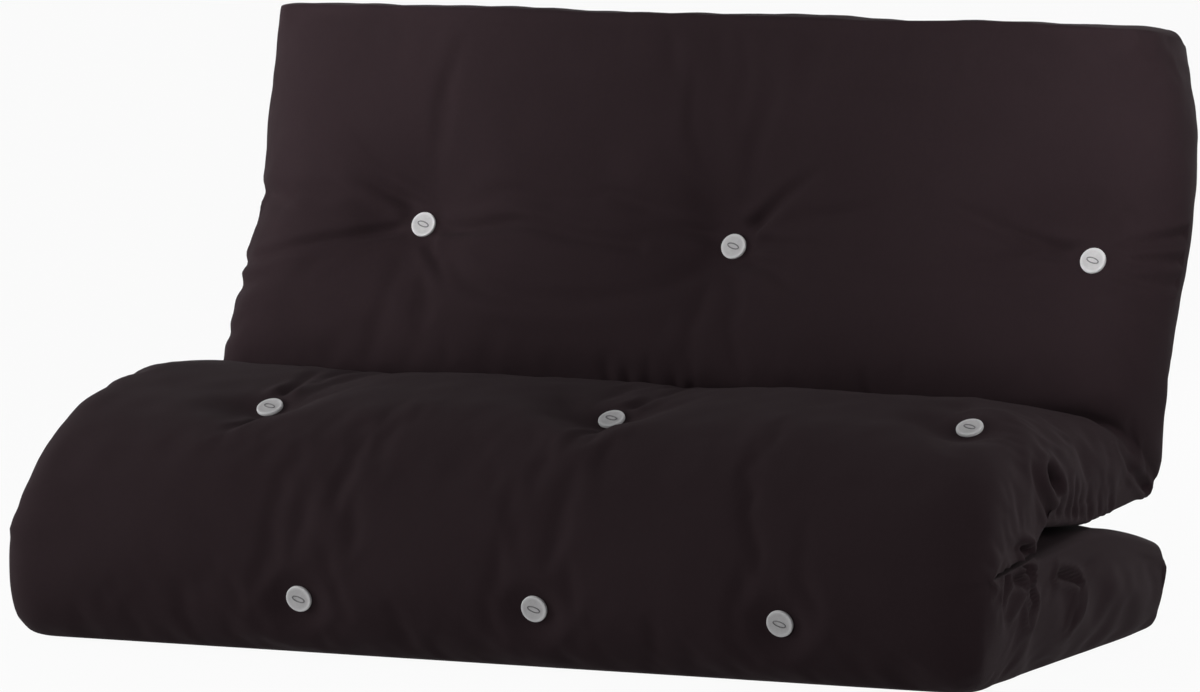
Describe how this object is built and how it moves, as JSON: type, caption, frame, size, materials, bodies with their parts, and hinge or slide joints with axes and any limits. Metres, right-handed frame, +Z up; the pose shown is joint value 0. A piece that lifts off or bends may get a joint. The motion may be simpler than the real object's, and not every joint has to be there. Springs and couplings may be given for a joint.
{
  "type": "futon mattress",
  "caption": "Thick tufted futon mattress folded as a low sofa: upright back, rounded seat front and a base folded under; back and base unfold flat.",
  "frame": {"origin": "on the floor under the middle of the folded mattress", "axes": "+X along the sofa to the right as seen from the front, +Y to the rear, +Z up"},
  "size_m": [1.352, 0.8701, 0.8124],
  "materials": {
    "cotton_drill": "matte dark charcoal brown cotton drill",
    "cotton_batting": "raw cotton batting",
    "felted_core": "dense felted fibre",
    "tuft_felt": "pale grey felt",
    "twine": "waxed twine"
  },
  "bodies": {
    "seat": {"seat_core": "felted_core", "seat_left_border": "cotton_drill", "seat_lower_batting": "cotton_batting", "seat_reverse_discs": "tuft_felt", "seat_right_border": "cotton_drill", "seat_top_panel": "cotton_drill", "seat_tuft_discs": "tuft_felt", "seat_tuft_twines": "twine", "seat_under_panel": "cotton_drill", "seat_upper_batting": "cotton_batting"},
    "back": {"back_core": "felted_core", "back_front_panel": "cotton_drill", "back_head_border": "cotton_drill", "back_left_border": "cotton_drill", "back_lower_batting": "cotton_batting", "back_rear_panel": "cotton_drill", "back_reverse_discs": "tuft_felt", "back_right_border": "cotton_drill", "back_tuft_discs": "tuft_felt", "back_tuft_twines": "twine", "back_upper_batting": "cotton_batting"},
    "base": {"base_core": "felted_core", "base_foot_border": "cotton_drill", "base_front_panel": "cotton_drill", "base_inner_panel": "cotton_drill", "base_left_border": "cotton_drill", "base_lower_batting": "cotton_batting", "base_reverse_discs": "tuft_felt", "base_right_border": "cotton_drill", "base_tuft_discs": "tuft_felt", "base_tuft_twines": "twine", "base_upper_batting": "cotton_batting"}
  },
  "joints": [
    {"name": "back_fold", "type": "hinge", "parent": "seat", "child": "back", "pos_m": [0, 0.3185, 0.192], "axis": [-1, 0, 0], "range_deg": [0, 72]},
    {"name": "base_fold", "type": "hinge", "parent": "seat", "child": "base", "pos_m": [0, -0.4335, 0.148], "axis": [-1, 0, 0], "range_deg": [0, 179]}
  ]
}
